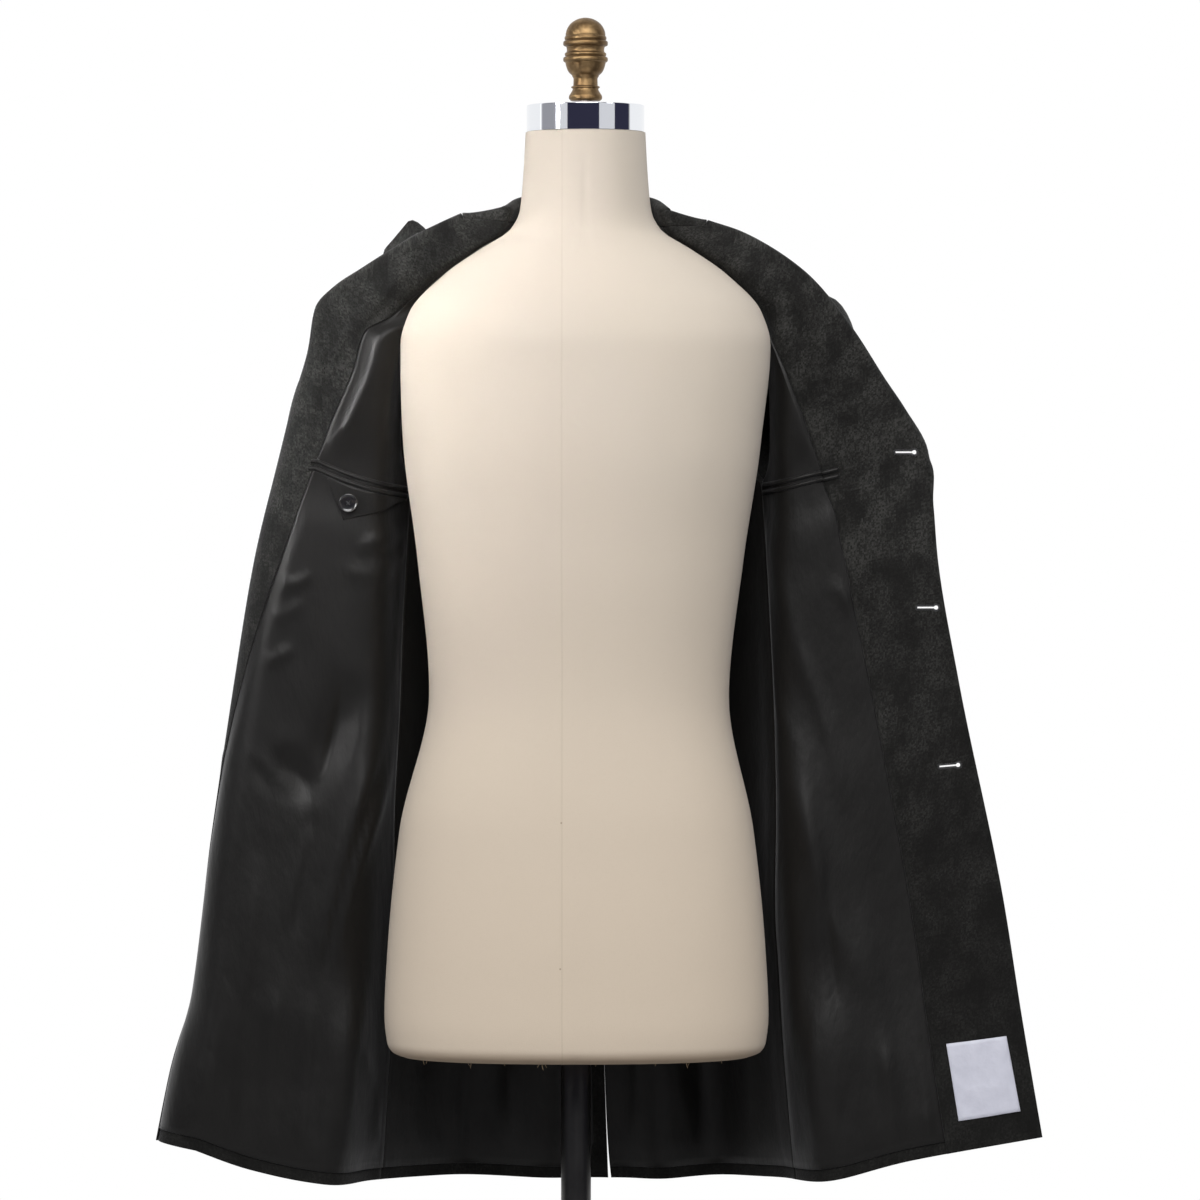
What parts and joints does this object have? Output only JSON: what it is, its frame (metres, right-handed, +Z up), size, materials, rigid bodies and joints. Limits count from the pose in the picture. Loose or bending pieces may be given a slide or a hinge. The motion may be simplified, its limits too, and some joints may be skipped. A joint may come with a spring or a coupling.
{
  "type": "overcoat on dress form",
  "caption": "Long single-breasted wool overcoat with satin lining, held wide open on a limbless canvas dress form with a turned finial and a round stand.",
  "frame": {"origin": "on the floor, under the middle of the stand's pole", "axes": "+Z up the pole, -Y out of the opened coat towards whoever looks into it, +X along the wing with the buttonholes"},
  "size_m": [0.8903, 0.4456, 1.6298],
  "materials": {
    "wool": "brushed charcoal and black wool with large tonal patches",
    "lining": "black satin lining",
    "label": "white satin care label, blank",
    "horn": "polished black horn",
    "canvas": "cream canvas stretched over the form",
    "chrome": "polished chrome",
    "brass": "aged satin brass",
    "dark_metal": "satin black"
  },
  "bodies": {
    "root": {"back_left": "wool", "back_right": "wool", "front_left": "wool", "front_right": "wool", "facing_left": "wool", "facing_right": "wool", "collar_under": "wool", "collar_top": "wool", "sleeve_upper_left": "wool", "sleeve_under_left": "wool", "sleeve_upper_right": "wool", "sleeve_under_right": "wool", "vent_facing": "wool", "jet_upper_left": "lining", "jet_lower_left": "lining", "jet_upper_right": "lining", "jet_lower_right": "lining", "lining_back_left": "lining", "lining_back_right": "lining", "lining_front_left": "lining", "lining_front_right": "lining", "pocket_tab": "lining", "label": "label", "front_button_1": "horn", "front_button_2": "horn", "front_button_3": "horn", "tab_button": "horn", "form_body": "canvas", "form_cap": "chrome", "finial_stud": "chrome", "finial": "brass", "stand_pole": "dark_metal", "stand_base": "dark_metal"}
  },
  "joints": []
}
